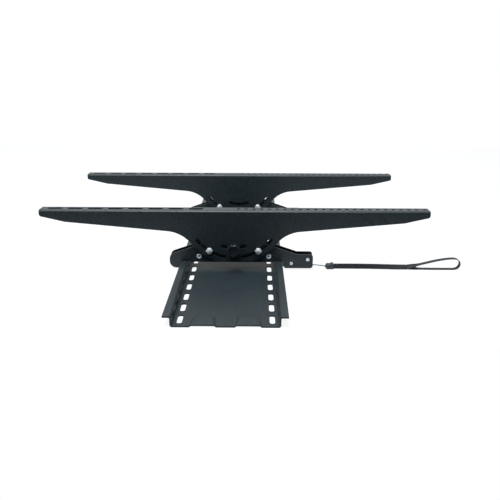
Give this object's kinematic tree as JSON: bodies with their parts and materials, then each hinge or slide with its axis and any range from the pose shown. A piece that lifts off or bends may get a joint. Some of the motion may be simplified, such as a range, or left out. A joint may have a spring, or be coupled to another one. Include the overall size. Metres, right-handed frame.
{
  "type": "tilting television wall mount",
  "caption": "Tilting wall mount for a large flat television: a slotted wall plate with two rails, sliding arms that tilt on arc slots, spring locks and a pull strap.",
  "frame": {"origin": "middle of the wall face: under the arms' tilt axis and half way along the wall plate", "axes": "+Z from the wall towards the television, +Y along the wall plate, +X along the arms towards the lock end, which hangs lowest on the wall"},
  "size_m": [0.699, 0.764, 0.1033],
  "materials": {
    "powder_coated_steel": "satin black powder coat",
    "zinc_plated_steel": "bright zinc plate",
    "nylon_washer": "moulded nylon",
    "moulded_knob": "fine moulded texture",
    "die_cast_latch": "zinc plated casting",
    "moulded_seat": "moulded nylon",
    "spring_steel": "drawn wire",
    "twisted_wire": "twisted strands",
    "moulded_clamp": "moulded nylon",
    "nylon_webbing": "woven webbing"
  },
  "bodies": {
    "wall": {"wall_plate": "powder_coated_steel"},
    "left_bracket": {"left_hook_plate_outer": "powder_coated_steel", "left_hook_plate_inner": "powder_coated_steel", "left_spacer_rivets": "zinc_plated_steel", "left_bolt_sleeves": "zinc_plated_steel", "left_tilt_bolts": "zinc_plated_steel", "left_tilt_nuts": "zinc_plated_steel", "left_friction_washers": "nylon_washer", "left_knob_bolt": "zinc_plated_steel", "left_guide_pin": "zinc_plated_steel", "left_seat_pin": "zinc_plated_steel", "left_spring_seat": "moulded_seat", "left_latch_spring": "spring_steel"},
    "left_tilting_arm": {"left_arm": "powder_coated_steel"},
    "left_knob": {"left_tilt_knob": "moulded_knob"},
    "left_lock": {"left_latch": "die_cast_latch", "left_pull_wire": "twisted_wire", "left_strap_clamp": "moulded_clamp", "left_strap": "nylon_webbing"},
    "right_bracket": {"right_hook_plate_outer": "powder_coated_steel", "right_hook_plate_inner": "powder_coated_steel", "right_spacer_rivets": "zinc_plated_steel", "right_bolt_sleeves": "zinc_plated_steel", "right_tilt_bolts": "zinc_plated_steel", "right_tilt_nuts": "zinc_plated_steel", "right_friction_washers": "nylon_washer", "right_knob_bolt": "zinc_plated_steel", "right_guide_pin": "zinc_plated_steel", "right_seat_pin": "zinc_plated_steel", "right_spring_seat": "moulded_seat", "right_latch_spring": "spring_steel"},
    "right_tilting_arm": {"right_arm": "powder_coated_steel"},
    "right_knob": {"right_tilt_knob": "moulded_knob"},
    "right_lock": {"right_latch": "die_cast_latch"}
  },
  "joints": [
    {"name": "left_slide", "type": "slide", "parent": "wall", "child": "left_bracket", "axis": [0, 1, 0], "range_m": [-0.2, 0.12]},
    {"name": "left_tilt", "type": "hinge", "parent": "left_bracket", "child": "left_tilting_arm", "pos_m": [0, -0.15, 0.1], "axis": [0, 1, 0], "range_deg": [-15, 15]},
    {"name": "left_knob_turn", "type": "hinge", "parent": "left_bracket", "child": "left_knob", "pos_m": [0, -0.1631, 0.0405], "axis": [0, 1, 0], "continuous": true},
    {"name": "left_lock_pull", "type": "slide", "parent": "left_bracket", "child": "left_lock", "axis": [1, 0, 0], "range_m": [0, 0.008], "stiffness_N_per_m": 400, "springref_m": -0.008, "deforming": ["left_latch_spring"]},
    {"name": "right_slide", "type": "slide", "parent": "wall", "child": "right_bracket", "axis": [0, 1, 0], "range_m": [-0.12, 0.2]},
    {"name": "right_tilt", "type": "hinge", "parent": "right_bracket", "child": "right_tilting_arm", "pos_m": [0, 0.15, 0.1], "axis": [0, 1, 0], "range_deg": [-15, 15]},
    {"name": "right_knob_turn", "type": "hinge", "parent": "right_bracket", "child": "right_knob", "pos_m": [0, 0.1631, 0.0405], "axis": [0, 1, 0], "continuous": true},
    {"name": "right_lock_pull", "type": "slide", "parent": "right_bracket", "child": "right_lock", "axis": [1, 0, 0], "range_m": [0, 0.008], "stiffness_N_per_m": 400, "springref_m": -0.008, "deforming": ["right_latch_spring"]}
  ]
}
